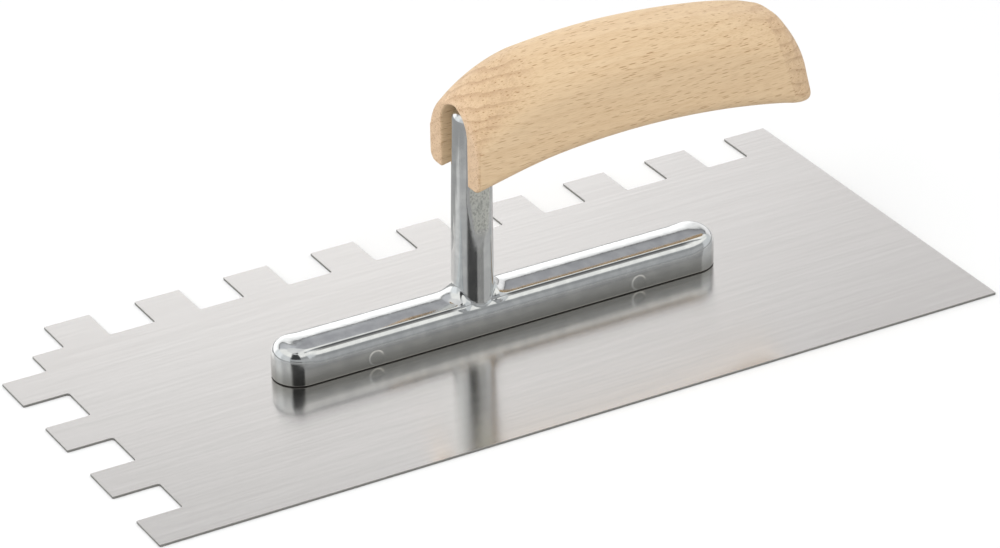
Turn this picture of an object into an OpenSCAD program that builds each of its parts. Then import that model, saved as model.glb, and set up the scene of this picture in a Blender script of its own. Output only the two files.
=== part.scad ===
// Notched trowel: a toothed steel blade riveted to a die-cast aluminium
// mounting, with a bowed beech handle pushed over the mounting's tang.
// X runs along the blade, Y across it and Z up. The origin is the middle of
// the blade's underside.

/* [Blade] */
// Length of the blade over its teeth
blade_l = 280; // [260:1:320]
// Width of the blade over its teeth
blade_w = 130; // [120:1:140]
// Thickness of the steel sheet
blade_t = 0.7; // [0.5:0.1:1.2]
// Width of each tooth, which is also the width of each notch
tooth_w = 15; // [10:0.5:15]
// Depth of the notches
notch_d = 14.5; // [6:0.5:18]
// Radius in the inner corners of the notches
notch_r = 0.8; // [0.2:0.1:2]

/* [Rail] */
// Length of the rail that the blade is riveted to
rail_l = 150; // [140:1:160]
// Width of the rail
rail_w = 16.2; // [16:0.1:18]
// Distance of the rail's middle from the blade's middle
rail_x = 4; // [0:0.5:8]
// Height of the rail's upright sides above the blade
rail_side_h = 7.4; // [6:0.2:8.4]

/* [Post] */
// Place of the post's foot along the blade
post_x = -4.4; // [-5:0.1:-4]
// Radius of the post at its foot
post_foot_r = 6.6; // [6.2:0.05:6.8]
// Radius of the post at its top
post_top_r = 5.85; // [5.5:0.05:6.2]
// Height of the post's top above the table
post_top = 72; // [70:0.5:72]
// How far the post leans forwards, in degrees
post_lean = 0.85; // [0:0.05:1]
// Thickness of the post between the flats of its upper half
post_flat_w = 10; // [9.2:0.1:10.6]

/* [Handle] */
// Place of the handle's rear end
handle_rear = -9.5; // [-10:0.1:-8.5]
// Place of the handle's front end
handle_front = 108.5; // [100:0.5:115]
// Width of the handle
handle_w = 29.6; // [29:0.2:34]
// Height of the top of the underside's arch above the table
arch_z = 57.6; // [57:0.1:58]
// Height of the handle's highest point above the table
crown_z = 87.2; // [86.5:0.1:89]
// Width of the slot that takes the post
slot_w = 15.4; // [14.8:0.1:15.6]
// Length of the slot from the handle's rear end
slot_l = 17; // [15:0.5:22]

/* [Fasteners] */
// Number of rivets between blade and rail
rivet_count = 6; // [4:1:6]
// Diameter of a rivet's shank
rivet_d = 4; // [3:0.5:4]
// Depth of a rivet in the rail
rivet_depth = 6; // [4:0.5:7]
// Place of the handle screw along the blade
screw_x = 32; // [28:1:38]
// Diameter of the handle screw's shank
screw_d = 4; // [3.5:0.5:4]
// Diameter of the handle screw's head
screw_head_d = 8; // [7:0.5:8]

/* [Hidden] */
$fn = 64;
// How far a cut runs past the face it opens
over = 1;

// Blade
pitch = 2 * tooth_w;
// Least length cut away at the corner between the two toothed edges
corner_min = 10;
long_teeth = floor((blade_l - corner_min) / pitch);
short_teeth = floor(blade_w / pitch);

// Rail section, from the blade's upper face
rail_r = rail_w / 2;
straight_l = rail_l - rail_w;
crown_h = 11.8;
crown_arc_r = 15.8;
edge_arc_r = 2.5;
edge_arc_y = 3.9;
edge_arc_z = 8.74;
crown_arc_half = edge_arc_y + 0.75;
crease_y = 6;
crease_z = 10.1;
crease_r = 0.25;

// Post
post_fillet = 4.5;
post_blend_w = 9.6;
post_blend_r = 4;
post_edge_r = 2.8;
flat_tip_z = 34.5;
flat_full_z = 44.5;

// Tang, which runs forwards inside the handle
tang_w = 9;
tang_end = 62;
tang_root_low = 60.5;
tang_tip_low = 65.5;
tang_tip_high = 74;
tang_gap = 0.15;

// Handle
arch_x = 47;
arch_r = 250;
top_x = 38;
top_r = 270;
rear_roll_x = 20;
rear_roll_r = 42;
rear_round = 1;
front_round = 7;
front_lean = 0.2;
lean_run = 25;
top_round_rear = 14.3;
top_round_front = 11.5;
top_round_run = 60;
slot_top = 74.1;
low_round_rear = 3;
low_round_front = 5;
low_round_run = 30;
// Least flat left across the crown of a station
crown_flat = 0.1;
corner_steps = 7;
side_steps = 15;
end_steps = 5;

// Screw
head_h = 2;
head_sink = 0.4;
screw_tip_z = 77;
head_z = underside(screw_x) + head_sink;
screw_cone_h = 5;
cross_l = 4.4;
cross_w = 1.1;
cross_h = 1.2;
screw_point_d = 1;

// Rivets
rivet_end = 10;
rivet_pitch = (rail_l - 2 * rivet_end) / (rivet_count - 1);
rivet_head_d = rivet_d + 2 * blade_t;
function rivet_x(i) = rail_x + (i - (rivet_count - 1) / 2) * rivet_pitch;

// ---- Blade ----

// A cut of width w that is open towards +Y, with rounded inner corners
module notch(w) {
    translate([notch_r, -notch_d]) square([w - 2 * notch_r, notch_d + over]);
    translate([0, notch_r - notch_d]) square([w, notch_d - notch_r + over]);
    for (x = [notch_r, w - notch_r])
        translate([x, notch_r - notch_d]) circle(notch_r, $fn = 24);
}

// The toothed long edge is at +Y and the toothed short edge at -X. The
// corner between them is cut away.
module blade_outline() {
    corner_w = blade_l - long_teeth * pitch + tooth_w;
    corner_h = blade_w - short_teeth * pitch + tooth_w;
    difference() {
        square([blade_l, blade_w], center = true);
        for (i = [1 : long_teeth - 1])
            translate([blade_l / 2 - i * pitch, blade_w / 2]) notch(tooth_w);
        for (i = [1 : short_teeth - 1])
            translate([-blade_l / 2, i * pitch - tooth_w - blade_w / 2])
                rotate(90) notch(tooth_w);
        translate([-blade_l / 2 - over, blade_w / 2]) notch(corner_w + over);
        translate([-blade_l / 2, blade_w / 2 - corner_h])
            rotate(90) notch(corner_h + over);
    }
}

module blade() {
    color("gainsboro")
        difference() {
            linear_extrude(blade_t) blade_outline();
            for (i = [0 : rivet_count - 1]) translate([rivet_x(i), 0, 0]) rivet_shape();
        }
}

// ---- Bracket: rail, post and tang in one casting ----

// Half of the rail's section: upright side, sloping shoulder, crown
module rail_profile() {
    intersection() {
        square([rail_r, crown_h]);
        union() {
            polygon([[0, 0], [rail_r, 0], [rail_r, rail_side_h], [crease_y, crease_z],
                     [edge_arc_y, edge_arc_z], [0, edge_arc_z]]);
            translate([edge_arc_y, edge_arc_z]) circle(edge_arc_r);
            intersection() {
                translate([0, crown_h - crown_arc_r]) circle(crown_arc_r, $fn = 128);
                square([crown_arc_half, crown_h]);
            }
        }
    }
}

module rail_section() {
    difference() {
        for (side = [0, 1]) mirror([side, 0]) rail_profile();
        for (side = [-1, 1])
            translate([side * crease_y, crease_z]) circle(crease_r, $fn = 16);
    }
}

module rail() {
    translate([rail_x, 0, blade_t]) {
        along(straight_l) rail_section();
        for (side = [-1, 1])
            translate([side * straight_l / 2, 0, 0]) rotate_extrude() rail_profile();
    }
}

// Rounded rectangle centred on the origin
module rounded(l, w, r) {
    square([l - 2 * r, w], center = true);
    square([l, w - 2 * r], center = true);
    for (x = [-1, 1], y = [-1, 1])
        translate([x * (l / 2 - r), y * (w / 2 - r)]) circle(r);
}

// Stands a side view, drawn in X and Z, across the blade
module across(w) {
    rotate([90, 0, 0]) linear_extrude(w, center = true) children();
}

// Stands an end view, drawn in Y and Z, along the blade
module along(l) {
    rotate([90, 0, 90]) linear_extrude(l, center = true) children();
}

// Half of the post's section: a tapered round bar with a rounded top edge
module post_profile() {
    edge_z = post_top - post_edge_r;
    polygon([[0, blade_t], [post_foot_r, blade_t], [post_top_r, edge_z],
             [post_top_r - post_edge_r, post_top], [0, post_top]]);
    translate([post_top_r - post_edge_r, edge_z]) circle(post_edge_r);
}

// End view of what the two flats leave of the post. Each starts at the tip
// height on the round surface and leans in until it is upright.
module post_flats() {
    tip_r = post_foot_r + (post_top_r - post_foot_r) * flat_tip_z / post_top;
    flat_y = post_flat_w / 2;
    run = (flat_full_z - flat_tip_z) / (tip_r - flat_y);
    wide_y = post_foot_r + over;
    wide_z = flat_tip_z - (wide_y - tip_r) * run;
    for (side = [0, 1]) mirror([side, 0])
        polygon([[0, 0], [wide_y, 0], [wide_y, wide_z], [flat_y, flat_full_z],
                 [flat_y, post_top + over], [0, post_top + over]]);
}

module post() {
    intersection() {
        translate([post_x, 0, 0]) rotate([0, post_lean, 0]) rotate_extrude() post_profile();
        translate([post_x, 0, 0]) along(4 * post_foot_r) post_flats();
    }
}

// Hollowed blend between the rail's crown and the post, fore and aft
module post_blend() {
    blend_l = 2 * (post_foot_r + post_fillet);
    top_z = crown_h + post_fillet;
    translate([post_x, 0, blade_t])
        intersection() {
            linear_extrude(top_z) rounded(blend_l, post_blend_w, post_blend_r);
            difference() {
                across(post_blend_w) translate([-blend_l / 2, 0]) square([blend_l, top_z]);
                for (side = [-1, 1])
                    translate([side * blend_l / 2, 0, top_z]) rotate([90, 0, 0])
                        cylinder(h = post_blend_w + over, r = post_fillet, center = true);
            }
        }
}

// Side view of the tang; gap makes it larger all round
module tang_side(gap = 0) {
    polygon([[post_x, tang_root_low - gap], [tang_end + gap, tang_tip_low - gap],
             [tang_end + gap, tang_tip_high + gap], [post_x, post_top + gap]]);
}

module bracket() {
    color("silver")
        difference() {
            union() {
                rail();
                post_blend();
                post();
                across(tang_w) tang_side();
            }
            for (i = [0 : rivet_count - 1]) translate([rivet_x(i), 0, 0]) rivet_shape();
            translate([screw_x, 0, 0]) screw_shape();
        }
}

// ---- Handle ----

// Heights of the handle's underside and top at a place along the blade
function underside(x) = arch_z - pow(x - arch_x, 2) / (2 * arch_r);
function top_arc(x) = crown_z - pow(x - top_x, 2) / (2 * top_r);
function rear_roll(x) = top_arc(rear_roll_x) - rear_roll_r
    + sqrt(pow(rear_roll_r, 2) - pow(x - rear_roll_x, 2));
function top(x) = x < rear_roll_x ? min(top_arc(x), rear_roll(x)) : top_arc(x);

// 0 at a and 1 at b, with a smooth turn at each
function ease(x, a, b) = let (t = max(0, min(1, (x - a) / (b - a)))) t * t * (3 - 2 * t);

// A station along the handle: place, low and high edge, width, corner radii
// and lean. The insets, for top, low edge and sides, round the two ends.
function station(x, k, insets) =
    let (width = handle_w - 2 * k * insets[2],
         top_r = top_round_rear + (top_round_front - top_round_rear)
             * ease(x, handle_rear, handle_rear + top_round_run),
         low_r = low_round_rear + (low_round_front - low_round_rear)
             * ease(x, handle_rear, handle_rear + low_round_run),
         lean_at = (x - handle_front + front_round + lean_run) / lean_run)
    [x, underside(x) + k * insets[1], top(x) - k * insets[0], width,
     min(top_r, (width - crown_flat) / 2), low_r, front_lean * pow(max(0, min(1, lean_at)), 2)];

rear_insets = [0.8, 0.6, 0.8];
front_insets = [8, 1.2, 5];
side_a = handle_rear + rear_round;
side_b = handle_front - front_round;
stations = [
    for (i = [0 : end_steps - 1]) let (a = 90 - 90 * i / end_steps)
        station(handle_rear + rear_round * (1 - sin(a)), 1 - cos(a), rear_insets),
    for (i = [0 : side_steps]) station(side_a + (side_b - side_a) * i / side_steps, 0, front_insets),
    for (i = [1 : end_steps]) let (a = 90 * i / end_steps)
        station(side_b + front_round * sin(a), 1 - cos(a), front_insets)
];

// The corners of a station's outline, each a quarter circle
function corners(s) = [
    [s[3] / 2 - s[4], s[2] - s[4], s[4]],
    [s[4] - s[3] / 2, s[2] - s[4], s[4]],
    [s[5] - s[3] / 2, s[1] + s[5], s[5]],
    [s[3] / 2 - s[5], s[1] + s[5], s[5]]
];

function outline(s) = [
    for (c = [0 : 3], i = [0 : corner_steps])
        let (corner = corners(s)[c],
             a = 90 * c + 90 * i / corner_steps,
             y = corner[0] + corner[2] * cos(a),
             z = corner[1] + corner[2] * sin(a))
        [s[0] - s[6] * (z - s[1]), y, z]
];

// Solid through a list of closed outlines that all have the same number of points
module loft(outlines) {
    n = len(outlines[0]);
    last = (len(outlines) - 1) * n;
    polyhedron(
        points = [for (o = outlines, p = o) p],
        faces = concat(
            [[for (j = [0 : n - 1]) j]],
            [[for (j = [0 : n - 1]) last + n - 1 - j]],
            [for (i = [0 : len(outlines) - 2], j = [0 : n - 1])
                [i * n + j, (i + 1) * n + j, (i + 1) * n + (j + 1) % n]],
            [for (i = [0 : len(outlines) - 2], j = [0 : n - 1])
                [i * n + j, (i + 1) * n + (j + 1) % n, i * n + (j + 1) % n]]));
}

// Arched slot that takes the post, open at the rear and underneath
module slot() {
    arch_middle = slot_top - slot_w / 2;
    translate([handle_rear - over, 0, 0])
        rotate([90, 0, 90]) linear_extrude(slot_l + over) {
            translate([0, arch_middle]) circle(d = slot_w);
            translate([-slot_w / 2, arch_middle - slot_w * 2]) square([slot_w, slot_w * 2]);
        }
}

module handle() {
    color("burlywood")
        difference() {
            loft([for (s = stations) outline(s)]);
            slot();
            across(tang_w + 2 * tang_gap) tang_side(tang_gap);
            translate([screw_x, 0, 0]) screw_shape();
            translate([screw_x, 0, head_z - head_h]) cylinder(h = head_h, d = screw_head_d);
        }
}

// ---- Fasteners ----

// Countersunk screw, head down, with its point up
module screw_shape() {
    translate([0, 0, head_z]) cylinder(h = head_h, d1 = screw_head_d, d2 = screw_d);
    translate([0, 0, head_z]) cylinder(h = screw_tip_z - screw_cone_h - head_z, d = screw_d);
    translate([0, 0, screw_tip_z - screw_cone_h])
        cylinder(h = screw_cone_h, d1 = screw_d, d2 = screw_point_d);
}

module handle_screw() {
    color("goldenrod")
        translate([screw_x, 0, 0])
            difference() {
                screw_shape();
                for (turn = [0, 90])
                    translate([0, 0, head_z]) rotate(turn)
                        cube([cross_l, cross_w, 2 * cross_h], center = true);
            }
}

// Rivet whose head fills a countersink from below
module rivet_shape() {
    cylinder(h = blade_t, d1 = rivet_head_d, d2 = rivet_d);
    cylinder(h = blade_t + rivet_depth, d = rivet_d);
}

module rivet(i) {
    color("lightgray") translate([rivet_x(i), 0, 0]) rivet_shape();
}

blade();
bracket();
handle();
handle_screw();
for (i = [0 : rivet_count - 1])
    rivet(i);
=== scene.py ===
import math

import bmesh
import bpy
import numpy as np
from mathutils import Matrix, Vector


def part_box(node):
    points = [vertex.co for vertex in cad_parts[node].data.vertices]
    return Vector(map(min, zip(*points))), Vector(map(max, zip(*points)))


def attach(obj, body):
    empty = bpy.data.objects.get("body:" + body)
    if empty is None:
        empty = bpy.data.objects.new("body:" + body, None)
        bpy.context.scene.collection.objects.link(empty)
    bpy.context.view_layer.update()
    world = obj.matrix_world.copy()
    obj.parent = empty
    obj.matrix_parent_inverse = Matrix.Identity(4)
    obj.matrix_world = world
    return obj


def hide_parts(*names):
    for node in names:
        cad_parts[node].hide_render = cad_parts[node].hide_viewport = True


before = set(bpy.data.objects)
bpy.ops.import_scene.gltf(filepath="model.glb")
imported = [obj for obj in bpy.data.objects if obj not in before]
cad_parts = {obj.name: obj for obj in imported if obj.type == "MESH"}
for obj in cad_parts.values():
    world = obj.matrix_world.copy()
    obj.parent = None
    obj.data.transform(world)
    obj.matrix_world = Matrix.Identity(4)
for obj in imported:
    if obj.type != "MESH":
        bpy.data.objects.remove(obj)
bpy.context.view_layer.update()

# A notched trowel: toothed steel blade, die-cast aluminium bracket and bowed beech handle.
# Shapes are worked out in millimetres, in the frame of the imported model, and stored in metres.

MM = 0.001


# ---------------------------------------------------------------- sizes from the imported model

def node_box(node):
    """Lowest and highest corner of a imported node, in millimetres."""
    low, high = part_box(node)
    return np.array(low) / MM, np.array(high) / MM


blade_high = node_box("blade")[1]
bracket_low, bracket_high = node_box("bracket")
handle_low, handle_high = node_box("handle")
screw_low, screw_high = node_box("handle_screw")
RIVETS = [name for name in sorted(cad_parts) if name.startswith("rivet_")]

# Blade. Teeth and notches are equally wide.
BLADE_T = blade_high[2]
TOOTH = 15.0
NOTCH_DEPTH = 14.5
NOTCH_R = 0.8
TOOTH_R = 0.25
CUT_EDGE_R = 0.06
CORNER_ARC_STEPS = 5
FLAT_FACE_Z = 0.9

# Rail: heights count from the blade's top, widths from the rail's middle
RAIL_L = bracket_high[0] - bracket_low[0]
RAIL_X = (bracket_high[0] + bracket_low[0]) / 2
RAIL_R = bracket_high[1]
SIDE_H, SIDE_EDGE_R = 7.4, 1.3
CREASE_Y, CREASE_H, CREASE_EDGE_R = 6.0, 10.1, 0.2
CROWN_H, CROWN_R = 11.8, 15.8
CROWN_Y, CROWN_EDGE_R, CROWN_FOOT_R = 5.9, 0.45, 0.3
END_R, END_FADE = 4.5, (-4, 6)
SEAM_H, SEAM_STEP, SEAM_EDGE_R = 0.28, 0.3, 0.15
UNDERCUT_TOP = 2.0

# Round marks that the ejector pins leave on the rail's near side: place along X, height
EJECTOR_MARKS = ((-41.2, 3.7), (48.8, 3.5))
EJECTOR_R, EJECTOR_DEPTH, EJECTOR_SLOPE = 2.6, 0.09, 0.6

# Post: its foot starts inside the rail, and the fillet widens in front of and behind it
POST_X = -4.4
POST_FOOT_R, POST_TOP_R, POST_TOP = 6.6, 5.85, 72.0
POST_LEAN = math.radians(0.85)
POST_EDGE_R = 2.8
POST_START = 5.0
FLAT_Y, FLAT_EDGE_R = 5.0, 0.7
FLAT_TIP_Z, FLAT_FULL_Z = 34.5, 44.5
FILLET_SIDE_R, FILLET_MORE_R = 0.5, 4.0
FILLET_X, FILLET_H = (3.0, 6.5), (7.0, 10.0)

# Tang, which runs forwards inside the handle
TANG_END = 62.0
TANG_W, TANG_EDGE_R, TANG_FOOT_R = 9.0, 1.0, 0.5
TANG_LOW_Z, TANG_HIGH_Z = (60.5, 65.5), (POST_TOP, 74.0)
TANG_ROOM = 0.15

# Handle. Its arches are parabolas: middle along X, height there, and twice their radius there
REAR, FRONT = handle_low[0], 108.5
HANDLE_W = handle_high[1] - handle_low[1]
UNDERSIDE_ARCH = (47, 57.6, 500)
TOP_ARCH = (38, 87.2, 540)
ROLL_X, ROLL_R = 20, 42
SLOT_W, SLOT_L, SLOT_TOP = 15.4, 17.0, 74.1
SLOT_END_R, SLOT_EDGE_R = 1.0, 0.7
FRONT_LEAN, FRONT_LEAN_L, FRONT_PLAIN_L = 0.2, 32, 7
REAR_ROUND_L, FRONT_ROUND_L = 1, 7
# What each end's rounding takes off: below, above and at each side
REAR_TAKES, FRONT_TAKES = (0.6, 0.8, 0.8), (1.2, 8, 4)
# Sloping facet at each side of the front end: length at its foot and top, share of the rounding
FACET_L, FACET_SHARE = (8, 13), 0.45
FACET_DEEPER, FACET_DEEPER_H = 1, 12
# Radii of the upper edges, rear and front, and of the lower edges, rear, middle and front
TOP_EDGE_R, TOP_EDGE_L = (14.3, 11.5), 60
LOW_EDGE_R, LOW_EDGE_L, LOW_EDGE_FADE = (3, 5, 3.8), 30, (12, 2)

# Screw and rivets
SCREW_X = (screw_low[0] + screw_high[0]) / 2
SCREW_HEAD_Z = screw_low[2]
SCREW_TIP_Z = screw_high[2]
SCREW_HEAD_R, SCREW_HEAD_H = 4.0, 2.0
# Values beside the thread's slopes grow faster than the distance; THREAD_SLOPE makes up for it
SCREW_R, THREAD_PITCH, THREAD_DEPTH, THREAD_SLOPE = 2.0, 1.8, 0.45, 0.8
SCREW_POINT_L, SCREW_POINT_R = 5, 0.2
CROSS_L, CROSS_W, CROSS_H, CROSS_EDGE_R = 4.4, 1.1, 1.2, 0.05
CROSS_TAPER_L, CROSS_TAPER_W = 0.5, 0.1
HEAD_EDGE_R, HEAD_FOOT_R = 0.15, 0.3
HEAD_ROOM, HOLE_EDGE_R = 0.15, 0.3
RAIL_CLEAR_Z = 20
RIVET_HOLE_R, RIVET_HEAD_R, RIVET_SHANK_R = 2.0, 2.66, 1.98
BLADE_HOLE_R, HOLE_POINTS = 2.7, 48
TURN_SEGMENTS, SHARP_ANGLE = 64, 50


def rivet_place(name):
    """Place of a rivet along X, and the height of its top."""
    low, high = node_box(name)
    return (low[0] + high[0]) / 2, high[2]


# ---------------------------------------------------------------- implicit shapes
# Each shape is a function of x, y and z that is negative inside and about the distance outside.

def both(a, b, r=0.0):
    """Intersection, with its outer edge rounded to radius r."""
    if r == 0:
        return np.maximum(a, b)
    return np.minimum(np.maximum(a, b), -r) + np.hypot(np.maximum(a + r, 0), np.maximum(b + r, 0))


def either(a, b, r=0.0):
    """Union, with its inner edge filled to radius r."""
    if np.ndim(r) == 0 and r == 0:
        return np.minimum(a, b)
    return np.maximum(np.minimum(a, b), r) - np.hypot(np.maximum(r - a, 0), np.maximum(r - b, 0))


def without(a, b, r=0.0):
    """a with b cut away, with the cut's edge rounded to radius r."""
    return both(a, -b, r)


def left_of_line(u, v, start, end):
    """Distance from the line that runs from start to end, positive on its left."""
    du, dv = end[0] - start[0], end[1] - start[1]
    return ((v - start[1]) * du - (u - start[0]) * dv) / math.hypot(du, dv)


def ease(value, a, b):
    """0 up to a, 1 from b on, smooth between."""
    t = np.clip((value - a) / (b - a), 0, 1)
    return t * t * (3 - 2 * t)


def glide(value, a, b, value_a, value_b):
    """value_a up to a, value_b from b on, smooth between."""
    return value_a + (value_b - value_a) * ease(value, a, b)


def rounded_rect(u, v, half_u, half_v, r):
    """Rectangle round the origin with rounded corners."""
    qu = np.abs(u) - half_u + r
    qv = np.abs(v) - half_v + r
    return np.minimum(np.maximum(qu, qv), 0) + np.hypot(np.maximum(qu, 0), np.maximum(qv, 0)) - r


def ejector_dents(x, y, z):
    """Depth of the shallow round marks on the rail's near side."""
    depth = 0
    for mark_x, mark_z in EJECTOR_MARKS:
        out = np.hypot(x - mark_x, z - mark_z)
        depth = depth + EJECTOR_DEPTH * (1 - ease(out, EJECTOR_R - EJECTOR_SLOPE, EJECTOR_R))
    return np.where(y < 0, depth, 0)


def rail(x, y, z):
    """Rail with upright sides, sloping shoulders and a low crown that fade into its round ends."""
    straight = RAIL_L / 2 - RAIL_R
    q = np.hypot(np.maximum(np.abs(x - RAIL_X) - straight, 0), y)
    h = z - BLADE_T
    shoulder = left_of_line(q, h, (RAIL_R, SIDE_H), (CREASE_Y, CREASE_H))
    side = q - RAIL_R + ejector_dents(x, y, z)
    body = both(both(side, -shoulder, SIDE_EDGE_R), h - CREASE_H, CREASE_EDGE_R)
    crown = both(np.hypot(q, h - CROWN_H + CROWN_R) - CROWN_R, q - CROWN_Y, CROWN_EDGE_R)
    solid = either(body, crown, CROWN_FOOT_R)
    tip = ease(np.abs(x - RAIL_X), straight + END_FADE[0], straight + END_FADE[1])
    solid = (1 - tip) * solid + tip * both(side, h - CROWN_H, END_R)
    undercut = both(q - RAIL_R + SEAM_STEP, np.abs(h - UNDERCUT_TOP / 2) - UNDERCUT_TOP / 2)
    return either(both(solid, SEAM_H - h, SEAM_EDGE_R), undercut)


def post(x, y, z):
    """Round tapered column that leans forwards a little, with two flats on its upper half."""
    along = (x - POST_X) * math.cos(POST_LEAN) - z * math.sin(POST_LEAN)
    up = z * math.cos(POST_LEAN) + (x - POST_X) * math.sin(POST_LEAN)
    radius = POST_FOOT_R + (POST_TOP_R - POST_FOOT_R) * up / POST_TOP
    column = both(np.hypot(along, y) - radius, up - POST_TOP, POST_EDGE_R)
    tip_r = POST_FOOT_R + (POST_TOP_R - POST_FOOT_R) * FLAT_TIP_Z / POST_TOP
    ramp = -left_of_line(np.abs(y), z, (tip_r, FLAT_TIP_Z), (FLAT_Y, FLAT_FULL_Z))
    return both(column, either(ramp, np.abs(y) - FLAT_Y), FLAT_EDGE_R)


def tang_side(x, z, room):
    """Side view of the tang below and above, with some room round it."""
    low = left_of_line(x, z, (POST_X, TANG_LOW_Z[0] - room), (TANG_END, TANG_LOW_Z[1] - room))
    high = left_of_line(x, z, (POST_X, TANG_HIGH_Z[0] + room), (TANG_END, TANG_HIGH_Z[1] + room))
    return low, high


def tang(x, y, z):
    """Flat bar that rises a little on its way forwards from the post."""
    low, high = tang_side(x, z, 0)
    side = both(both(-low, high, TANG_EDGE_R), x - TANG_END, TANG_EDGE_R)
    return both(both(side, POST_X - x), np.abs(y) - TANG_W / 2, TANG_EDGE_R)


def bracket_shape(x, y, z):
    """The whole casting, with its rivet holes from below and the screw's hole in the tang."""
    fillet = FILLET_MORE_R * ease(np.abs(x - POST_X), *FILLET_X) * ease(z - BLADE_T, *FILLET_H)
    foot = either(rail(x, y, z), both(post(x, y, z), BLADE_T + POST_START - z), FILLET_SIDE_R + fillet)
    solid = either(foot, tang(x, y, z), TANG_FOOT_R)
    for name in RIVETS:
        place, end_z = rivet_place(name)
        solid = without(solid, both(np.hypot(x - place, y) - RIVET_HOLE_R, z - end_z))
    screw = np.hypot(x - SCREW_X, y) - SCREW_R
    return without(solid, both(screw, RAIL_CLEAR_Z - z))


def arch(x, middle, height, curve):
    """Height of a parabola that bends down on both sides of its middle."""
    return height - (x - middle) ** 2 / curve


def underside(x):
    """The handle's lower line."""
    return arch(x, *UNDERSIDE_ARCH)


def top(x):
    """The handle's top line, which rolls down towards the rear in an arc."""
    bow = arch(x, *TOP_ARCH)
    roll = arch(ROLL_X, *TOP_ARCH) - ROLL_R + np.sqrt(np.maximum(ROLL_R ** 2 - (x - ROLL_X) ** 2, 1))
    return np.where(x < ROLL_X, np.minimum(bow, roll), bow)


def rounded_end(t):
    """0 at the start of a rounded end and 1 at its face, along a quarter circle."""
    return 1 - np.sqrt(1 - np.clip(t, 0, 1) ** 2)


def grip(x, y, z):
    """The handle's outer form: a bowed bar with a wide round top, rounded at its rear end.

    The front end leans forwards at its foot, is rounded above and below, and has a sloping
    facet on each side that is longer at the top."""
    lean = np.clip((x - FRONT + FRONT_LEAN_L) / (FRONT_LEAN_L - FRONT_PLAIN_L), 0, 1) ** 2
    at = x + FRONT_LEAN * lean * (z - underside(x))
    rear_k = rounded_end((REAR - at) / REAR_ROUND_L + 1)
    front_k = rounded_end((at - FRONT) / FRONT_ROUND_L + 1)
    facet_k = np.clip((at - FRONT) / glide(z, underside(at), top(at), *FACET_L) + 1, 0, 1)
    side_k = (1 - FACET_SHARE) * front_k + FACET_SHARE * facet_k
    low = underside(at) + REAR_TAKES[0] * rear_k + FRONT_TAKES[0] * front_k
    high = top(at) - REAR_TAKES[1] * rear_k - FRONT_TAKES[1] * front_k
    deeper = FACET_DEEPER * ease(z, low, low + FACET_DEEPER_H)
    half_w = HANDLE_W / 2 - REAR_TAKES[2] * rear_k - (FRONT_TAKES[2] + deeper) * side_k
    top_r = np.minimum(glide(at, REAR, REAR + TOP_EDGE_L, *TOP_EDGE_R), half_w - 0.05)
    low_r = glide(at, REAR, REAR + LOW_EDGE_L, *LOW_EDGE_R[:2])
    low_r = low_r + glide(at, FRONT - LOW_EDGE_FADE[0], FRONT - LOW_EDGE_FADE[1],
                          0, LOW_EDGE_R[2] - LOW_EDGE_R[1])
    mid, half_h = (low + high) / 2, (high - low) / 2
    r = np.where(z > mid, top_r, low_r)
    section = rounded_rect(y, z - mid, half_w, half_h, r)
    return both(both(section, at - FRONT), REAR - at)


def slot(x, y, z):
    """Arched slot for the post, open at the rear and underneath."""
    arch_z = SLOT_TOP - SLOT_W / 2
    sides = np.where(z > arch_z, np.hypot(y, z - arch_z), np.abs(y)) - SLOT_W / 2
    return both(sides, x - REAR - SLOT_L, SLOT_END_R)


def handle_shape(x, y, z):
    """The grip with its slot, the pocket for the tang and the screw's countersunk hole."""
    solid = without(grip(x, y, z), slot(x, y, z), SLOT_EDGE_R)
    low, high = tang_side(x, z, TANG_ROOM)
    end = both(x - TANG_END - TANG_ROOM, np.abs(y) - TANG_W / 2 - TANG_ROOM)
    solid = without(solid, both(both(-low, high), end))
    hole = np.hypot(x - SCREW_X, y)
    solid = without(solid, both(hole - SCREW_R, z - SCREW_TIP_Z))
    sink = both(hole - SCREW_HEAD_R - HEAD_ROOM, z - SCREW_HEAD_Z - SCREW_HEAD_H)
    return without(solid, sink, HOLE_EDGE_R)


def screw_shape(x, y, z):
    """Countersunk wood screw with its head down, a cross recess and a thread."""
    u, h = x - SCREW_X, z - SCREW_HEAD_Z
    out = np.hypot(u, y)
    head = both(both(out + h - SCREW_HEAD_R, h - SCREW_HEAD_H), -h, HEAD_EDGE_R)
    turn = np.arctan2(y, u) / math.tau
    wave = np.abs((h / THREAD_PITCH - turn) % 1 - 0.5) * 2
    point = np.clip((SCREW_TIP_Z - z) / SCREW_POINT_L, 0, 1)
    radius = SCREW_POINT_R + (SCREW_R - SCREW_POINT_R) * point
    radius = np.minimum(SCREW_R - THREAD_DEPTH * wave ** 2, radius)
    shank = both(out - radius, np.maximum(-h, z - SCREW_TIP_Z)) * THREAD_SLOPE
    solid = either(head, shank, HEAD_FOOT_R)
    for a, b in ((u, y), (y, u)):
        wing = np.maximum(np.abs(a) - CROSS_L / 2 + CROSS_TAPER_L * h,
                          np.abs(b) - CROSS_W / 2 + CROSS_TAPER_W * h)
        solid = without(solid, both(wing, h - CROSS_H), CROSS_EDGE_R)
    return solid


# ---------------------------------------------------------------- mesh of an implicit shape

CELL_CORNERS = [(i, j, k) for i in (0, 1) for j in (0, 1) for k in (0, 1)]
SLOPE_STEP, LEAST_SLOPE_SQUARED = 0.01, 0.05
SETTLE_MOVES, EVEN_SHARE = 4, 0.5


def steps(*marks):
    """Grid lines from (place, spacing) marks: each spacing holds until the next place."""
    lines = [np.array([marks[0][0]])]
    for (a, size), (b, _) in zip(marks[:-1], marks[1:]):
        count = max(1, round((b - a) / size))
        lines.append(a + (b - a) * np.arange(1, count + 1) / count)
    return np.concatenate(lines)


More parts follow.
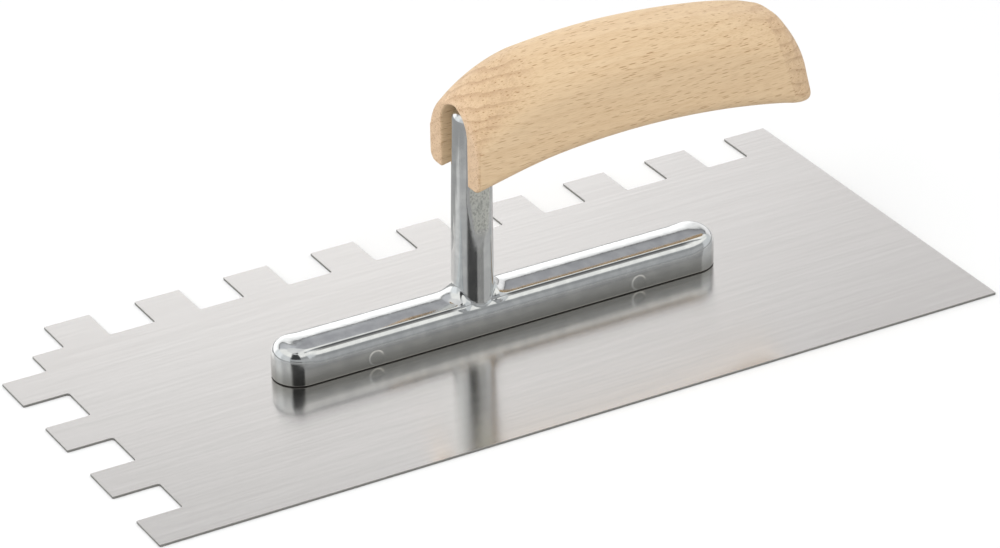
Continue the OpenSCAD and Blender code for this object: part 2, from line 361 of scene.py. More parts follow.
def gradient(shape, p):
    """How fast the shape's value grows along X, Y and Z at some points."""
    e = SLOPE_STEP
    x, y, z = p.T
    return np.stack([shape(x + e, y, z) - shape(x - e, y, z),
                     shape(x, y + e, z) - shape(x, y - e, z),
                     shape(x, y, z + e) - shape(x, y, z - e)], 1) / (2 * e)


def settle(shape, p, reach):
    """Moves points onto the surface in a few moves, each at most reach long."""
    for _ in range(SETTLE_MOVES):
        g = gradient(shape, p)
        size = np.maximum((g * g).sum(1), LEAST_SLOPE_SQUARED)
        move = g * (shape(*p.T) / size)[:, None]
        length = np.linalg.norm(move, axis=1)[:, None]
        p = p - move * np.minimum(1, reach / np.maximum(length, 1e-9))
    return p


def sampled(shape, grid):
    """Values of a shape wherever the grid's lines meet."""
    xs, ys, zs = grid
    y, z = np.meshgrid(ys, zs, indexing="ij")
    return np.stack([shape(np.full_like(y, x), y, z) for x in xs])


def cut_cells(inside):
    """Cells that the surface runs through, and their numbers on the grid of cells."""
    count = np.zeros(tuple(n - 1 for n in inside.shape), np.int8)
    for i, j, k in CELL_CORNERS:
        count += inside[i:i + count.shape[0], j:j + count.shape[1], k:k + count.shape[2]]
    cells = np.argwhere((count > 0) & (count < len(CELL_CORNERS)))
    number = np.full(count.shape, -1)
    number[tuple(cells.T)] = np.arange(len(cells))
    return cells, number


def cell_points(grid, d, cells):
    """A point in each cell, in the middle of the places where its edges cross the surface."""
    total = np.zeros((len(cells), 3))
    hits = np.zeros(len(cells))
    for a in CELL_CORNERS:
        for axis in range(3):
            if a[axis] == 1:
                continue
            b = tuple(c + (n == axis) for n, c in enumerate(a))
            ia = tuple((cells + a).T)
            ib = tuple((cells + b).T)
            da, db = d[ia], d[ib]
            cross = (da < 0) != (db < 0)
            t = np.where(cross, da / np.where(cross, da - db, 1), 0)
            for n in range(3):
                pa, pb = grid[n][ia[n]], grid[n][ib[n]]
                total[:, n] += np.where(cross, pa + (pb - pa) * t, 0)
            hits += cross
    return total / hits[:, None]


def cell_quads(inside, number):
    """A quad between the four cells round each grid edge that crosses the surface."""
    quads = []
    for axis in range(3):
        u, v = (axis + 1) % 3, (axis + 2) % 3
        low = [slice(None)] * 3
        high = [slice(None)] * 3
        low[axis], high[axis] = slice(0, -1), slice(1, None)
        edges = np.argwhere(inside[tuple(low)] != inside[tuple(high)])
        edges = edges[(edges[:, u] > 0) & (edges[:, v] > 0)]
        edges = edges[(edges[:, u] < inside.shape[u] - 1) & (edges[:, v] < inside.shape[v] - 1)]
        ring = []
        for du, dv in ((1, 1), (0, 1), (0, 0), (1, 0)):
            cell = edges.copy()
            cell[:, u] -= du
            cell[:, v] -= dv
            ring.append(number[tuple(cell.T)])
        ring = np.stack(ring, 1)
        starts_inside = inside[tuple(edges.T)]
        quads.append(np.where(starts_inside[:, None], ring, ring[:, ::-1]))
    return np.concatenate(quads)


def evened(shape, points, quads, reach):
    """Moves points towards the middle of their neighbours and back onto the surface."""
    first = quads.ravel()
    second = np.roll(quads, -1, 1).ravel()
    near = np.zeros_like(points)
    degree = np.zeros(len(points))
    for a, b in ((first, second), (second, first)):
        for n in range(3):
            near[:, n] += np.bincount(a, points[b, n], len(points))
        degree += np.bincount(a, minlength=len(points))
    return settle(shape, points + EVEN_SHARE * (near / degree[:, None] - points), reach)


def surface_net(shape, xs, ys, zs, relax=3):
    """Vertices, quads and normals of the surface shape = 0 over a grid of lines."""
    grid = (xs, ys, zs)
    d = sampled(shape, grid)
    inside = d < 0
    cells, number = cut_cells(inside)
    quads = cell_quads(inside, number)
    reach = min(np.diff(lines).min() for lines in grid)
    points = settle(shape, cell_points(grid, d, cells), reach)
    for _ in range(relax):
        points = evened(shape, points, quads, reach)
    normals = gradient(shape, points)
    normals /= np.maximum(np.linalg.norm(normals, axis=1), 1e-9)[:, None]
    return points, quads, normals


def new_piece(name, points, faces, normals=None):
    """Smooth mesh object from points in millimetres."""
    mesh = bpy.data.meshes.new(name)
    faces = [[int(corner) for corner in face] for face in faces]
    mesh.from_pydata((np.asarray(points) * MM).tolist(), [], faces)
    mesh.validate()
    mesh.shade_smooth()
    if normals is not None:
        mesh.normals_split_custom_set_from_vertices(normals.tolist())
    piece = bpy.data.objects.new(name, mesh)
    bpy.context.scene.collection.objects.link(piece)
    return piece


# ---------------------------------------------------------------- pieces

def stand_for(piece, node, slot_name, *materials):
    """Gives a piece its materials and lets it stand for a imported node."""
    for material in materials:
        piece.data.materials.append(material)
    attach(piece, "root")
    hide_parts(node)


def blade_corners():
    """The blade's outline as corners: x, y and corner radius. Teeth along +Y and -X."""
    half_l, half_w = blade_high[0], blade_high[1]
    pitch = 2 * TOOTH
    corners = [(half_l, -half_w, TOOTH_R), (half_l, half_w, TOOTH_R)]
    long_teeth = int(2 * half_l // pitch)
    for i in range(long_teeth):
        left = half_l - i * pitch - TOOTH
        corners.append((left, half_w, TOOTH_R))
        corners.append((left, half_w - NOTCH_DEPTH, NOTCH_R))
        if i < long_teeth - 1:
            corners.append((left - TOOTH, half_w - NOTCH_DEPTH, NOTCH_R))
            corners.append((left - TOOTH, half_w, TOOTH_R))
    short_teeth = int(2 * half_w // pitch)
    corners.append((NOTCH_DEPTH - half_l, half_w - NOTCH_DEPTH, TOOTH_R))
    for i in range(short_teeth - 1, -1, -1):
        near = i * pitch - half_w
        corners.append((NOTCH_DEPTH - half_l, near + TOOTH, NOTCH_R))
        corners.append((-half_l, near + TOOTH, TOOTH_R))
        corners.append((-half_l, near, TOOTH_R))
        if i > 0:
            corners.append((NOTCH_DEPTH - half_l, near, NOTCH_R))
    return corners


def rounded_path(corners):
    """Closed path through square corners, with each corner rounded to its radius."""
    path = []
    for n, (x, y, r) in enumerate(corners):
        here = Vector((x, y))
        before = (Vector(corners[n - 1][:2]) - here).normalized()
        after = (Vector(corners[(n + 1) % len(corners)][:2]) - here).normalized()
        middle = here + (before + after) * r
        for k in range(CORNER_ARC_STEPS + 1):
            a = math.pi / 2 * k / CORNER_ARC_STEPS
            path.append(middle - after * r * math.cos(a) - before * r * math.sin(a))
    return path


def add_outline(curve, path):
    """Adds a closed outline in millimetres to a flat curve."""
    spline = curve.splines.new("POLY")
    spline.points.add(len(path) - 1)
    for point, at in zip(spline.points, path):
        point.co = (at[0] * MM, at[1] * MM, 0, 1)
    spline.use_cyclic_u = True


def make_blade(face_material, edge_material):
    """Toothed sheet with rounded cut edges, open at the rivets."""
    curve = bpy.data.curves.new("blade_outline", "CURVE")
    curve.dimensions = "2D"
    curve.fill_mode = "BOTH"
    curve.bevel_depth = CUT_EDGE_R * MM
    curve.bevel_resolution = 2
    curve.offset = -CUT_EDGE_R * MM
    curve.extrude = (BLADE_T / 2 - CUT_EDGE_R) * MM
    add_outline(curve, rounded_path(blade_corners()))
    for name in RIVETS:
        place, _ = rivet_place(name)
        turns = [math.tau * k / HOLE_POINTS for k in range(HOLE_POINTS)]
        add_outline(curve, [(place + BLADE_HOLE_R * math.cos(a), BLADE_HOLE_R * math.sin(a)) for a in turns])
    outline = bpy.data.objects.new("blade_outline", curve)
    bpy.context.scene.collection.objects.link(outline)
    graph = bpy.context.evaluated_depsgraph_get()
    mesh = bpy.data.meshes.new_from_object(outline.evaluated_get(graph))
    bpy.data.objects.remove(outline)
    mesh.name = "toothed_blade"
    work = bmesh.new()
    work.from_mesh(mesh)
    bmesh.ops.remove_doubles(work, verts=work.verts, dist=1e-6)
    bmesh.ops.translate(work, verts=work.verts, vec=(0, 0, BLADE_T / 2 * MM))
    bmesh.ops.recalc_face_normals(work, faces=work.faces)
    mesh.materials.clear()
    for face in work.faces:
        flat = abs(face.normal.z) > FLAT_FACE_Z
        face.material_index = 0 if flat else 1
        face.smooth = not flat
    work.to_mesh(mesh)
    work.free()
    piece = bpy.data.objects.new("toothed_blade", mesh)
    bpy.context.scene.collection.objects.link(piece)
    stand_for(piece, "blade", "blade_steel", face_material, edge_material)


def turned(name, profile, place):
    """Body turned about an upright axis, from (radius, height) pairs on the way up."""
    segments = TURN_SEGMENTS
    turns = [math.tau * k / segments for k in range(segments)]
    ring = [(math.cos(a), math.sin(a)) for a in turns]
    points = [(place + r * c, r * s, z) for r, z in profile for c, s in ring]
    faces = []
    for i in range(len(profile) - 1):
        for k in range(segments):
            a, b = i * segments + k, i * segments + (k + 1) % segments
            faces.append((a, b, b + segments, a + segments))
    last = (len(profile) - 1) * segments
    faces.append(tuple(range(segments - 1, -1, -1)))
    faces.append(tuple(range(last, last + segments)))
    piece = new_piece(name, points, faces)
    piece.data.set_sharp_from_angle(angle=math.radians(SHARP_ANGLE))
    return piece


def make_rivets(material):
    """Countersunk rivets, each with its head ground flush and a small chamfer round it."""
    for name in RIVETS:
        place, end_z = rivet_place(name)
        profile = [(2.45, 0.02), (2.58, 0.0), (RIVET_HEAD_R, 0.05), (RIVET_HEAD_R, BLADE_T / 2),
                   (RIVET_SHANK_R, BLADE_T), (RIVET_SHANK_R, end_z - 0.5), (1.6, end_z - 0.1), (1.2, end_z)]
        stand_for(turned("flush_" + name, profile, place), name, "rivet_aluminium", material)


def make_screw(material):
    """Wood screw, on an even grid that is fine enough for its thread."""
    grid, past = 0.13, 0.4
    reach = SCREW_HEAD_R + 0.3
    xs = steps((SCREW_X - reach, grid), (SCREW_X + reach, 0))
    ys = steps((-reach, grid), (reach, 0))
    zs = steps((SCREW_HEAD_Z - past, grid), (SCREW_TIP_Z + past, 0))
    piece = new_piece("wood_screw", *surface_net(screw_shape, xs, ys, zs, relax=1))
    stand_for(piece, "handle_screw", "screw_steel", material)


def make_bracket(material):
    """Casting, on a grid that is finer at the rail's ends, the ejector marks and the post's foot."""
    finest, fine, coarse = 0.25, 0.35, 0.75
    near_mark, near_post, near_end, past = 3.5, 14, 10, 0.6
    low, high = bracket_low, bracket_high
    (first_mark, _), (last_mark, _) = EJECTOR_MARKS
    xs = steps((low[0] - past, fine), (low[0] + near_end, coarse),
               (first_mark - near_mark, finest), (first_mark + near_mark, coarse),
               (POST_X - near_post, fine), (POST_X + near_post, coarse),
               (last_mark - near_mark, finest), (last_mark + near_mark, coarse),
               (high[0] - near_end, fine), (high[0] + past, 0))
    half = steps((0, 0.45), (3.6, 0.3), (5.2, 0.2), (7.0, 0.25), (RAIL_R + past, 0))
    ys = np.concatenate([-half[:0:-1], half])
    zs = steps((BLADE_T - past, 0.15), (BLADE_T + 0.9, 0.25), (BLADE_T + 13, 0.3),
               (BLADE_T + 18, 0.6), (high[2] + 0.8, 0))
    piece = new_piece("bracket_casting", *surface_net(bracket_shape, xs, ys, zs))
    stand_for(piece, "bracket", "cast_aluminium", material)


def make_handle(material):
    """Grip, on a grid that is finer along X at its ends and at the screw's hole."""
    fine, even, coarse = 0.4, 0.5, 0.6
    past = 0.8
    low, high = handle_low, handle_high
    xs = steps((low[0] - 1, fine), (low[0] + 4, coarse), (SCREW_X - 6, fine), (SCREW_X + 6, coarse),
               (FRONT - 10, fine), (high[0] + 1, 0))
    ys = steps((low[1] - past, even), (high[1] + past, 0))
    zs = steps((low[2] - past, even), (high[2] + past, 0))
    piece = new_piece("beech_handle", *surface_net(handle_shape, xs, ys, zs))
    stand_for(piece, "handle", "beech", material)


# ---------------------------------------------------------------- node helpers

def add_node(tree, kind, **inputs):
    """New shader node; inputs go by number (i0, i1), anything else is an attribute."""
    node = tree.nodes.new("ShaderNode" + kind)
    for key, value in inputs.items():
        if key[0] == "i" and key[1:].isdigit():
            feed(tree, node.inputs[int(key[1:])], value)
        else:
            setattr(node, key, value)
    return node


def feed(tree, socket, value):
    """Links a socket to an output, or sets its value."""
    if isinstance(value, bpy.types.NodeSocket):
        tree.links.new(value, socket)
    elif socket.type == "RGBA" and len(value) == 3:
        socket.default_value = (*value, 1)
    else:
        socket.default_value = value


def calc(tree, operation, *values):
    """Result of a math node on values or outputs."""
    node = add_node(tree, "Math", operation=operation, **{f"i{n}": v for n, v in enumerate(values)})
    return node.outputs[0]


def ramp(tree, factor, stops):
    """Values, greys or colours by a factor, from (place, value) stops."""
    node = add_node(tree, "ValToRGB", i0=factor)
    elements = node.color_ramp.elements
    while len(elements) < len(stops):
        elements.new(0.5)
    for element, (place, value) in zip(elements, stops):
        element.position = place
        element.color = (value, value, value, 1) if np.ndim(value) == 0 else (*value, 1)
    return node.outputs[0]


def blend(tree, factor, a, b, blend_type="MIX"):
    """Colour a turned into colour b by a factor."""
    node = add_node(tree, "Mix", data_type="RGBA", blend_type=blend_type)
    feed(tree, node.inputs[0], factor)
    feed(tree, node.inputs[6], a)
    feed(tree, node.inputs[7], b)
    return node.outputs[2]


def between(tree, value, low, high):
    """0 below low, 1 above high, smooth between."""
    node = add_node(tree, "MapRange", interpolation_type="SMOOTHSTEP", i0=value, i1=low, i2=high)
    return node.outputs[0]


def window(tree, value, start, full, fade, end):
    """0 outside start and end, 1 from full to fade, smooth between."""
    return calc(tree, "MULTIPLY", between(tree, value, start, full), between(tree, value, end, fade))


def away_from(tree, value, middle):
    """Distance of a value from a middle."""
    return calc(tree, "ABSOLUTE", calc(tree, "SUBTRACT", value, middle))


def place_mm(tree, scale=(1, 1, 1), offset=(0, 0, 0)):
    """Object coordinates in millimetres, scaled on each axis."""
    coord = add_node(tree, "TexCoord").outputs["Object"]
    mapping = add_node(tree, "Mapping", i0=coord)
    mapping.inputs["Scale"].default_value = [value / MM for value in scale]
    mapping.inputs["Location"].default_value = offset
    return mapping.outputs[0]


def noise(tree, scale, detail=2.0, offset=(0, 0, 0), rough=0.5):
    """Noise that varies over 1 / scale millimetres on each axis."""
    node = add_node(tree, "TexNoise", i0=place_mm(tree, scale, offset))
    node.inputs["Scale"].default_value = 1
    node.inputs["Detail"].default_value = detail
    node.inputs["Roughness"].default_value = rough
    return node.outputs["Fac"]


def bumped(tree, shader, *layers):
    """Stacks bump layers of (height, distance in millimetres) on a shader."""
    normal = None
    for height, distance in layers:
        bump = add_node(tree, "Bump")
        bump.inputs["Strength"].default_value = 1
        bump.inputs["Distance"].default_value = distance * MM
        tree.links.new(height, bump.inputs["Height"])
        if normal is not None:
            tree.links.new(normal, bump.inputs["Normal"])
        normal = bump.outputs[0]
    tree.links.new(normal, shader.inputs["Normal"])


def srgb(red, green, blue):
    """Linear colour from 0 to 255 screen values."""
    return tuple((v / 255 / 12.92) if v < 11 else ((v / 255 + 0.055) / 1.055) ** 2.4
                 for v in (red, green, blue))


# ---------------------------------------------------------------- materials

def new_material(name):
    """New material with its node tree and its shader."""
    material = bpy.data.materials.new(name)
    material.use_nodes = True
    return material, material.node_tree, material.node_tree.nodes["Principled BSDF"]


def cast_metal():
    """Die-cast aluminium: polished crown, matt flats, and painted shade: sides darker towards the blade, a
    dark crease and a dark seam.
    """
    material, tree, shader = new_material("cast_aluminium")
    x, y, z = add_node(tree, "SeparateXYZ", i0=place_mm(tree)).outputs
    face_y = add_node(tree, "SeparateXYZ", i0=add_node(tree, "NewGeometry").outputs["Normal"]).outputs[1]
    blotch = noise(tree, (0.25, 0.25, 0.25), 4)
    speck = noise(tree, (1.6, 1.6, 1.2), 3, (3, 1, 2), 0.6)
    drawn = noise(tree, (1.4, 1.4, 0.05), 3, (1, 5, 1))

    # Masks from 0 to 1. The crease's painted shade fades out towards the rail's ends and at the post.
    height = calc(tree, "SUBTRACT", z, BLADE_T)
    low = between(tree, height, CREASE_H + 0.5, CREASE_H - 0.5)
    flat = calc(tree, "MULTIPLY", between(tree, calc(tree, "ABSOLUTE", face_y), 0.93, 0.985),
                between(tree, z, FLAT_TIP_Z - 3, FLAT_TIP_Z + 2))
    seam_shade = between(tree, height, SEAM_H + 0.15, SEAM_H - 0.05)
    foot = between(tree, height, SIDE_H - 0.4, 0.5)
    beside = away_from(tree, calc(tree, "ABSOLUTE", y), CREASE_Y)
    level = away_from(tree, height, CREASE_H + 0.1)
    along = away_from(tree, x, RAIL_X)
    crease = calc(tree, "MULTIPLY", between(tree, beside, 0.42, 0.12), between(tree, level, 0.6, 0.3))
    crease = calc(tree, "MULTIPLY", crease, between(tree, along, RAIL_L / 2 - 8, RAIL_L / 2 - 14))
    crease = calc(tree, "MULTIPLY", crease, between(tree, away_from(tree, x, POST_X), 7.0, 11.0))

    colour = blend(tree, between(tree, blotch, 0.35, 0.7), (0.60, 0.61, 0.61), (0.70, 0.71, 0.70))
    # Painted shade: the rail's sides darken towards the blade, standing in for occlusion
    colour = blend(tree, calc(tree, "MULTIPLY", foot, 0.9), colour, (0.32, 0.32, 0.3))
    stained = blend(tree, between(tree, speck, 0.3, 0.6), (0.5, 0.51, 0.47), (0.86, 0.87, 0.81))
    colour = blend(tree, calc(tree, "MULTIPLY", flat, 0.9), colour, stained)
    # Painted shade: a dark line along the crease, where its groove lies
    colour = blend(tree, calc(tree, "MULTIPLY", crease, 0.8), colour, (0.1, 0.1, 0.1))
    # Painted shade: a near-black line along the seam with the blade
    colour = blend(tree, calc(tree, "MULTIPLY", seam_shade, 0.9), colour, (0.09, 0.085, 0.08))
    tree.links.new(colour, shader.inputs["Base Color"])
    shader.inputs["Metallic"].default_value = 1

    rough = calc(tree, "MULTIPLY_ADD", low, -0.01, 0.12)
    rough = calc(tree, "MULTIPLY_ADD", flat, 0.25, rough)
    rough = calc(tree, "MULTIPLY_ADD", seam_shade, 0.4, rough)
    rough = calc(tree, "MULTIPLY_ADD", calc(tree, "SUBTRACT", speck, 0.5), 0.08, rough)
    tree.links.new(rough, shader.inputs["Roughness"])
    bumped(tree, shader, (blotch, 0.03), (drawn, 0.008), (speck, 0.003))
    return material


def beech():
    """Steamed beech cut along the grain: short dark flecks, faint rings, plainer end grain."""
    material, tree, shader = new_material("beech")
    facing = add_node(tree, "SeparateXYZ", i0=add_node(tree, "NewGeometry").outputs["Normal"]).outputs[0]
    slant = calc(tree, "ABSOLUTE", facing)
    # Masks from 0 to 1: end grain, and painted shade on the surface that rolls over towards each end
    end_grain = between(tree, slant, 0.45, 0.85)
    square_on = between(tree, slant, 0.75, 0.95)
    roll_shade = calc(tree, "MULTIPLY", between(tree, slant, 0.1, 0.35),
                  calc(tree, "MULTIPLY_ADD", square_on, -0.5, 1.0))

    warp = noise(tree, (0.05, 0.12, 0.12), 2)
    streak = noise(tree, (0.02, 0.5, 0.5), 4, (2, 0, 7))
    fibre = noise(tree, (0.25, 5.0, 5.0), 3, (0, 3, 1))
    _, y, z = add_node(tree, "SeparateXYZ", i0=place_mm(tree)).outputs
    # Growth rings round the trunk's heart, which lies beside and below the handle
    heart_y, heart_z, ring_pitch = -35.0, 10.0, 3.4
    from_heart = add_node(tree, "CombineXYZ", i1=calc(tree, "SUBTRACT", y, heart_y),
                          i2=calc(tree, "SUBTRACT", z, heart_z)).outputs[0]
    ring_r = add_node(tree, "VectorMath", operation="LENGTH", i0=from_heart).outputs["Value"]
    ring_r = calc(tree, "MULTIPLY_ADD", warp, 6.0, ring_r)
    ring = calc(tree, "FRACT", calc(tree, "DIVIDE", ring_r, ring_pitch))
    late = between(tree, ring, 0.55, 1.0)

    # Flecks: one in each cell of about this size, narrower than the cell by the factors below
    cell_size, narrower = (3.4, 0.8, 0.9), (2.0, 3.4, 5.8)
    scaled = place_mm(tree, [1 / size for size in cell_size])
    cell = add_node(tree, "TexVoronoi", i0=scaled)
    cell.inputs["Scale"].default_value = 1
    away = add_node(tree, "VectorMath", operation="SUBTRACT", i0=scaled,
                    i1=cell.outputs["Position"]).outputs[0]
    away = add_node(tree, "VectorMath", operation="MULTIPLY", i0=away, i1=narrower).outputs[0]
    away = add_node(tree, "VectorMath", operation="LENGTH", i0=away).outputs["Value"]
    deep = add_node(tree, "SeparateXYZ", i0=cell.outputs["Color"]).outputs[1]
    fleck = calc(tree, "MULTIPLY", between(tree, away, 1.0, 0.5), calc(tree, "MULTIPLY_ADD", deep, 0.7, 0.3))
    pore = add_node(tree, "TexVoronoi", i0=place_mm(tree, (0.5, 1.1, 1.1)))
    pore.inputs["Scale"].default_value = 1
    dots = calc(tree, "MULTIPLY", between(tree, pore.outputs["Distance"], 0.3, 0.15), end_grain)

    colour = blend(tree, streak, srgb(226, 195, 155), srgb(237, 210, 173))
    colour = blend(tree, calc(tree, "MULTIPLY", late, 0.15), colour, srgb(205, 166, 126))
    colour = blend(tree, calc(tree, "MULTIPLY", end_grain, 0.5), colour, srgb(236, 204, 174))
    mottle = between(tree, noise(tree, (0.45, 0.45, 0.45), 4, (6, 2, 3), 0.6), 0.38, 0.62)
    mottle = calc(tree, "MULTIPLY_ADD", late, 0.5, calc(tree, "MULTIPLY", mottle, 0.3))
    # Painted shade, mottled with noise and the growth rings: darker where the surface rolls over towards
    # each end
    colour = blend(tree, calc(tree, "MULTIPLY", roll_shade, calc(tree, "ADD", mottle, 0.18)), colour,
                   srgb(198, 164, 130))
    colour = blend(tree, calc(tree, "MULTIPLY", between(tree, fibre, 0.45, 0.75), 0.38), colour,
                   srgb(180, 138, 92))
    colour = blend(tree, calc(tree, "MULTIPLY", fleck, 0.88), colour, srgb(168, 120, 76))
    colour = blend(tree, calc(tree, "MULTIPLY", dots, 0.5), colour, srgb(160, 112, 74))
    tree.links.new(colour, shader.inputs["Base Color"])
    rough = calc(tree, "MULTIPLY_ADD", fibre, 0.2, 0.45)
    tree.links.new(rough, shader.inputs["Roughness"])
    shader.inputs["Specular IOR Level"].default_value = 0.35
    holes = calc(tree, "SUBTRACT", 1.0, calc(tree, "MAXIMUM", fleck, dots))
    bumped(tree, shader, (fibre, 0.02), (holes, 0.04))
    return material


def brushed(tree, shader, light, dark, base_rough):
    """Brush lines along X: streaked colour and a sheen that spreads across the lines."""
    broad = noise(tree, (0.012, 0.05, 1), 2, (4, 1, 0))
    line = noise(tree, (0.02, 3.0, 1), 3, (1, 2, 0))
    fine = noise(tree, (0.08, 12.0, 1), 2, (5, 7, 0))
    grain = calc(tree, "MULTIPLY_ADD", fine, 0.5, calc(tree, "MULTIPLY", line, 0.5))
    colour = blend(tree, between(tree, grain, 0.3, 0.7), dark, light)
    colour = blend(tree, calc(tree, "MULTIPLY", broad, 0.3), colour, (0.66, 0.62, 0.6))
    band = between(tree, noise(tree, (0.03, 0.8, 1), 3, (9, 3, 0)), 0.35, 0.65)
    colour = blend(tree, calc(tree, "MULTIPLY", band, 0.14), colour, (0.55, 0.53, 0.51))
    tree.links.new(colour, shader.inputs["Base Color"])
    tree.links.new(calc(tree, "MULTIPLY_ADD", grain, 0.1, base_rough - 0.05), shader.inputs["Roughness"])
    shader.inputs["Metallic"].default_value = 1
    shader.inputs["Anisotropic"].default_value = 0.8
    tangent = add_node(tree, "CombineXYZ", i1=1.0)
    tree.links.new(tangent.outputs[0], shader.inputs["Tangent"])
    bumped(tree, shader, (grain, 0.004))


def blade_steel():
    """The blade's brushed faces, a little warm."""
    material, tree, shader = new_material("blade_steel")
    brushed(tree, shader, (0.75, 0.735, 0.72), (0.67, 0.655, 0.64), 0.155)
    return material


def cut_edge_steel():
    """The blade's stamped edge: duller than its faces."""
    material, tree, shader = new_material("cut_edge_steel")
    burr = noise(tree, (2.0, 2.0, 0.4), 3)
    tree.links.new(blend(tree, burr, (0.42, 0.41, 0.39), (0.62, 0.61, 0.58)), shader.inputs["Base Color"])
    shader.inputs["Metallic"].default_value = 1
    shader.inputs["Roughness"].default_value = 0.5
    bumped(tree, shader, (burr, 0.02))
    return material


def rivet_aluminium():
    """Rivet heads ground flush with the blade, lighter than the steel round them."""
    material, tree, shader = new_material("rivet_aluminium")
    brushed(tree, shader, (0.8, 0.8, 0.79), (0.72, 0.72, 0.71), 0.36)
    return material


def zinc_plated():
    """Zinc-plated screw with a faint yellow tint."""
    material, tree, shader = new_material("screw_steel")
    patch = noise(tree, (0.9, 0.9, 0.9), 3)
    tree.links.new(blend(tree, patch, (0.62, 0.55, 0.38), (0.72, 0.69, 0.6)), shader.inputs["Base Color"])
    shader.inputs["Metallic"].default_value = 1
    tree.links.new(calc(tree, "MULTIPLY_ADD", patch, 0.2, 0.2), shader.inputs["Roughness"])
    bumped(tree, shader, (patch, 0.01))
    return material


# ---------------------------------------------------------------- stage

FLOOR_REACH, FLOOR_GAP = 4.0, 0.0001
FLOOR_SEEN, FLOOR_MIRRORED = (0.97, 0.97, 0.97), (0.4, 0.4, 0.4)


def make_floor():
    """Pale floor that fills the view, and is greyer where the metal mirrors it."""
    mesh = bpy.data.meshes.new("floor")
    s = FLOOR_REACH
    mesh.from_pydata([(-s, -s, 0), (s, -s, 0), (s, s, 0), (-s, s, 0)], [], [(0, 1, 2, 3)])
    floor = bpy.data.objects.new("floor", mesh)
    bpy.context.scene.collection.objects.link(floor)
    floor.location.z = -FLOOR_GAP
    material, tree, shader = new_material("pale_floor")
    mirrored = add_node(tree, "LightPath").outputs["Is Glossy Ray"]
    tree.links.new(blend(tree, mirrored, FLOOR_SEEN, FLOOR_MIRRORED), shader.inputs["Base Color"])
    shader.inputs["Roughness"].default_value = 0.9
    mesh.materials.append(material)


# The studio. Headings count in degrees from -Y towards -X, and rises in degrees above the floor.
# Each brightness is half the true value. A band gives its start, full, fade and end.
STUDIO_STRENGTH = 2.0
WALL_GREY, WALL_TINT = 0.2, (0.97, 1.0, 1.02)
# Panels on the walls, each over the ones before it: first and last heading, soft edge, brightness
PANELS = ((55, 155, 5, 0.42), (95, 140, 12, 0.58), (0, 56, 4, 0.03), (250, 266, 5, 0.13),
          (262, 328, 6, 0.42))
LOW_BAND, LOW_GREY = (2, 6, 17, 21), (0.25, 0.255, 0.26)
DARK_BAND = (0, 4, 50, 58)
UPPER_RISES, UPPER_GREY = (30, 38), (0.6, 0.6, 0.585)
BACK_BAND = (130, 150, 255, 270)
BACK_STOPS = ((0, 0.85), (23, 0.8), (27, 0.64), (31, 0.62), (32, 0.06), (33.6, 0.06),
              (35, (0.25, 0.255, 0.265)), (42, (0.33, 0.335, 0.35)), (60, (0.38, 0.385, 0.4)))
BACK_DIMS, BACK_DIM_TINT = (207, 217), (0.69, 0.685, 0.69)
CEILING_RISES, CEILING_GREY = (60, 67), (0.48, 0.48, 0.48)
SEEN_GREY = (0.5, 0.5, 0.5)


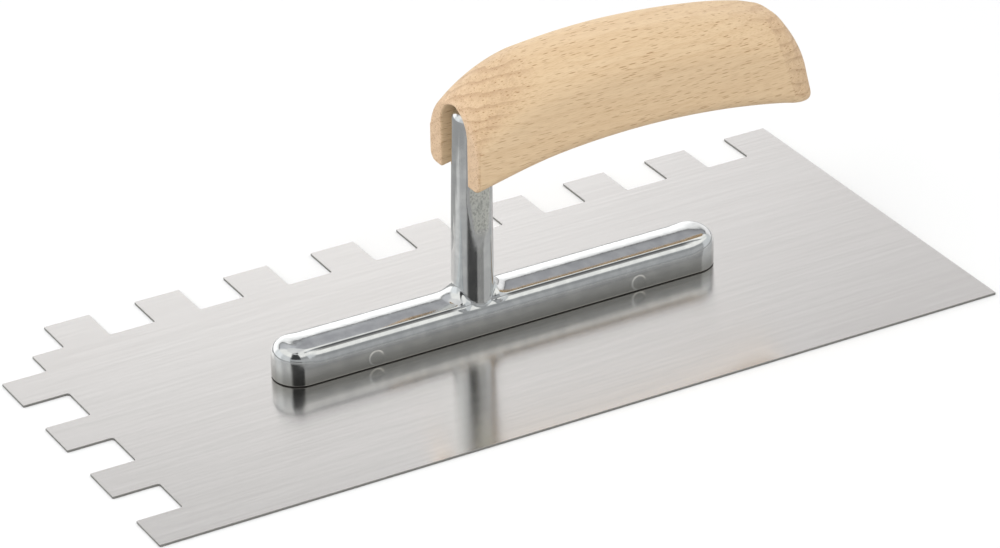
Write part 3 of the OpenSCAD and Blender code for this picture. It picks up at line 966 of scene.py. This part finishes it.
def make_world():
    """Studio: panels round the walls, lighter above them, a banded back wall and a plain ceiling.

    The camera itself sees plain white instead."""
    world = bpy.data.worlds.new("studio")
    world.use_nodes = True
    tree = world.node_tree
    background = tree.nodes["Background"]
    x, y, z = add_node(tree, "SeparateXYZ", i0=add_node(tree, "TexCoord").outputs["Generated"]).outputs
    heading = calc(tree, "ARCTAN2", calc(tree, "MULTIPLY", x, -1.0), calc(tree, "MULTIPLY", y, -1.0))
    heading = calc(tree, "FRACT", calc(tree, "ADD", calc(tree, "DIVIDE", heading, math.tau), 1.0))
    heading = calc(tree, "MULTIPLY", heading, 360.0)
    rise = calc(tree, "MULTIPLY", calc(tree, "ARCSINE", z), 180 / math.pi)

    walls = (WALL_GREY, WALL_GREY, WALL_GREY)
    for first, last, edge, grey in PANELS:
        panel = window(tree, heading, first, first + edge, last - edge, last)
        walls = blend(tree, panel, walls, (grey, grey, grey))
    walls = blend(tree, 1.0, walls, WALL_TINT, "MULTIPLY")
    lit_side = calc(tree, "SUBTRACT", 1.0, window(tree, heading, *DARK_BAND))
    upper = calc(tree, "MULTIPLY", between(tree, rise, *UPPER_RISES), lit_side)
    walls = blend(tree, window(tree, rise, *LOW_BAND), walls, LOW_GREY, "LIGHTEN")
    walls = blend(tree, upper, walls, UPPER_GREY)
    back = ramp(tree, calc(tree, "DIVIDE", rise, 90.0), [(at / 90, value) for at, value in BACK_STOPS])
    back = blend(tree, between(tree, heading, *BACK_DIMS), back, BACK_DIM_TINT, "MULTIPLY")
    room = blend(tree, window(tree, heading, *BACK_BAND), walls, back)
    room = blend(tree, between(tree, rise, *CEILING_RISES), room, CEILING_GREY)
    seen = add_node(tree, "LightPath").outputs["Is Camera Ray"]
    tree.links.new(blend(tree, seen, room, SEEN_GREY), background.inputs["Color"])
    background.inputs["Strength"].default_value = STUDIO_STRENGTH
    bpy.context.scene.world = world


def make_lamp(name, place, size, energy):
    """Large soft lamp that lights the wood and the floor but stays out of reflections.

    Its place and size are in metres, its energy in watts."""
    lamp = bpy.data.lights.new(name, "AREA")
    lamp.shape = "DISK"
    lamp.size = size
    lamp.energy = energy
    light = bpy.data.objects.new(name, lamp)
    bpy.context.scene.collection.objects.link(light)
    light.location = place
    light.rotation_euler = (-light.location).to_track_quat("-Z", "Y").to_euler()
    light.visible_glossy = False


# Camera fitted to the photo: the point it faces in millimetres; its heading from +Y towards +X,
# how far it looks down and its roll in degrees; its distance in metres and its lens
CAMERA_TARGET = (18.17, 22.96, 0.7)
CAMERA_HEADING, CAMERA_DROP, CAMERA_ROLL = 29.266, 28.2973, -1.002
CAMERA_DISTANCE, CAMERA_LENS, SENSOR_W = 1.42085, 167.977, 36


def make_camera():
    """Camera at the photo's viewpoint."""
    target = Vector(CAMERA_TARGET) * MM
    heading, drop = math.radians(CAMERA_HEADING), math.radians(CAMERA_DROP)
    forward = Vector((math.sin(heading) * math.cos(drop), math.cos(heading) * math.cos(drop),
                      -math.sin(drop)))
    camera = bpy.data.objects.new("camera", bpy.data.cameras.new("camera"))
    bpy.context.scene.collection.objects.link(camera)
    turn = forward.to_track_quat("-Z", "Y").to_matrix() @ Matrix.Rotation(math.radians(CAMERA_ROLL), 3, "Z")
    camera.matrix_world = Matrix.Translation(target - forward * CAMERA_DISTANCE) @ turn.to_4x4()
    camera.data.lens = CAMERA_LENS
    camera.data.sensor_width = SENSOR_W
    camera.data.clip_start = 0.05
    camera.data.clip_end = 20
    bpy.context.scene.camera = camera


bpy.context.scene.view_settings.view_transform = "Standard"
make_blade(blade_steel(), cut_edge_steel())
make_bracket(cast_metal())
make_handle(beech())
make_screw(zinc_plated())
make_rivets(rivet_aluminium())
make_floor()
make_world()
make_lamp("front_softbox", (-0.9, -1.35, 0.65), 1.2, 4.4)
make_lamp("top_softbox", (-0.7, -0.2, 1.6), 1.6, 7.2)
make_camera()
